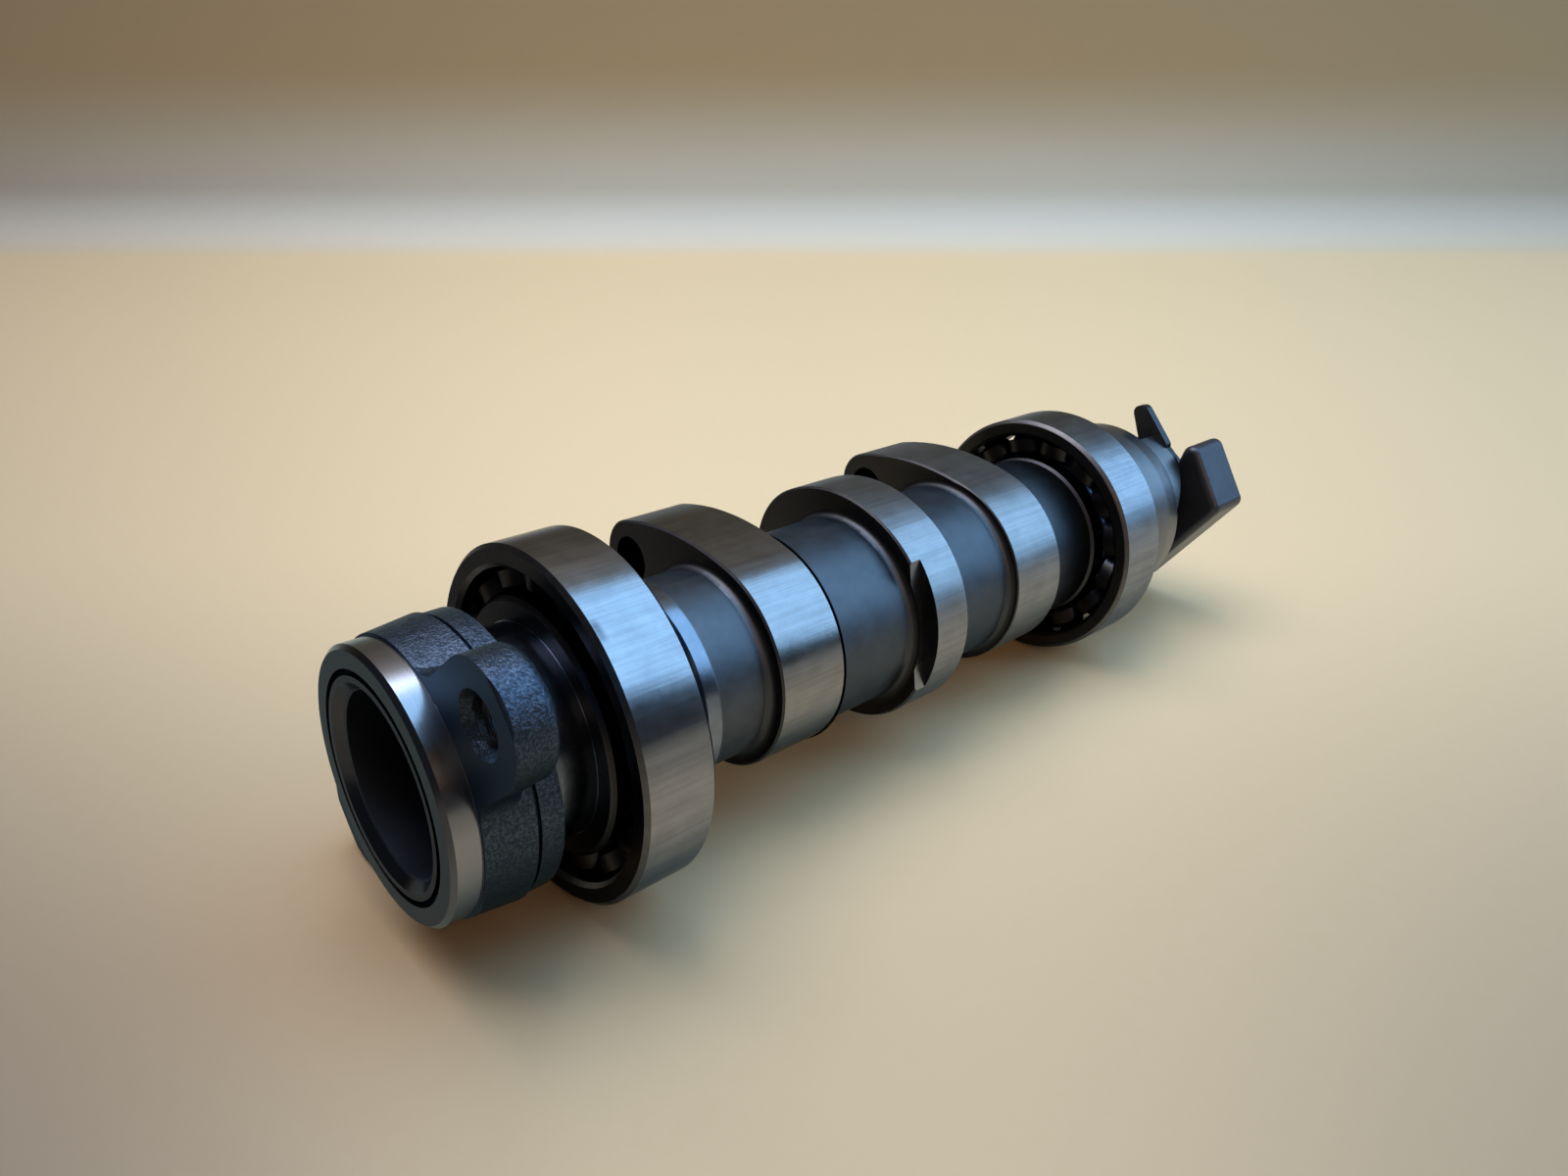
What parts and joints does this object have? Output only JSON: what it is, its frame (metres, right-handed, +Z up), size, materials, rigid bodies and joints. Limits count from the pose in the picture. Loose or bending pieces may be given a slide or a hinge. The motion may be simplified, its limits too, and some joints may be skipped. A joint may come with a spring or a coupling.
{
  "type": "camshaft with drive hub and ball bearings",
  "caption": "Hollow steel camshaft with lobes, a cast drive hub with bolt ears at one end, open ball bearings near both ends, and a drum and lever on the far end.",
  "frame": {"origin": "on the shaft axis, in the plane of the machined flange face where the drive sprocket seats", "axes": "+X along the shaft axis from the flange towards the far end with the lever; +Z up as it lies; angles round the shaft go from +Y towards +Z"},
  "size_m": [0.1413, 0.047, 0.042],
  "materials": {
    "ground_steel": "ground lobes, satin turned necks",
    "cast_hub": "rough cast with machined faces",
    "ring_steel": "ground",
    "cage_steel": "pressed sheet, oiled",
    "ball_steel": "polished",
    "drum_steel": "turned, satin",
    "dark_casting": "dark, smooth cast"
  },
  "bodies": {
    "camshaft": {"camshaft_core": "ground_steel", "drive_hub": "cast_hub", "front_bearing_inner_ring": "ring_steel", "rear_bearing_inner_ring": "ring_steel", "end_drum": "drum_steel", "end_lever": "dark_casting"},
    "front_outer_ring": {"front_bearing_outer_ring": "ring_steel"},
    "front_cage_and_balls": {"front_bearing_cage": "cage_steel", "front_bearing_ball_01": "ball_steel", "front_bearing_ball_02": "ball_steel", "front_bearing_ball_03": "ball_steel", "front_bearing_ball_04": "ball_steel", "front_bearing_ball_05": "ball_steel", "front_bearing_ball_06": "ball_steel", "front_bearing_ball_07": "ball_steel", "front_bearing_ball_08": "ball_steel", "front_bearing_ball_09": "ball_steel", "front_bearing_ball_10": "ball_steel", "front_bearing_ball_11": "ball_steel", "front_bearing_ball_12": "ball_steel", "front_bearing_ball_13": "ball_steel", "front_bearing_ball_14": "ball_steel", "front_bearing_ball_15": "ball_steel", "front_bearing_ball_16": "ball_steel", "front_bearing_ball_17": "ball_steel"},
    "rear_outer_ring": {"rear_bearing_outer_ring": "ring_steel"},
    "rear_cage_and_balls": {"rear_bearing_cage": "cage_steel", "rear_bearing_ball_01": "ball_steel", "rear_bearing_ball_02": "ball_steel", "rear_bearing_ball_03": "ball_steel", "rear_bearing_ball_04": "ball_steel", "rear_bearing_ball_05": "ball_steel", "rear_bearing_ball_06": "ball_steel", "rear_bearing_ball_07": "ball_steel", "rear_bearing_ball_08": "ball_steel", "rear_bearing_ball_09": "ball_steel", "rear_bearing_ball_10": "ball_steel", "rear_bearing_ball_11": "ball_steel", "rear_bearing_ball_12": "ball_steel", "rear_bearing_ball_13": "ball_steel", "rear_bearing_ball_14": "ball_steel", "rear_bearing_ball_15": "ball_steel"}
  },
  "joints": [
    {"name": "front_bearing_turn", "type": "hinge", "parent": "camshaft", "child": "front_outer_ring", "pos_m": [0.0191, 0, 0], "axis": [1, 0, 0], "continuous": true},
    {"name": "front_cage_turn", "type": "hinge", "parent": "camshaft", "child": "front_cage_and_balls", "pos_m": [0.0191, 0, 0], "axis": [1, 0, 0], "continuous": true},
    {"name": "rear_bearing_turn", "type": "hinge", "parent": "camshaft", "child": "rear_outer_ring", "pos_m": [0.1075, 0, 0], "axis": [1, 0, 0], "continuous": true},
    {"name": "rear_cage_turn", "type": "hinge", "parent": "camshaft", "child": "rear_cage_and_balls", "pos_m": [0.1075, 0, 0], "axis": [1, 0, 0], "continuous": true}
  ],
  "couplings": [
    {"joint": "front_cage_turn", "follows": "front_bearing_turn", "ratio": 0.57107},
    {"joint": "rear_cage_turn", "follows": "rear_bearing_turn", "ratio": 0.58354}
  ]
}
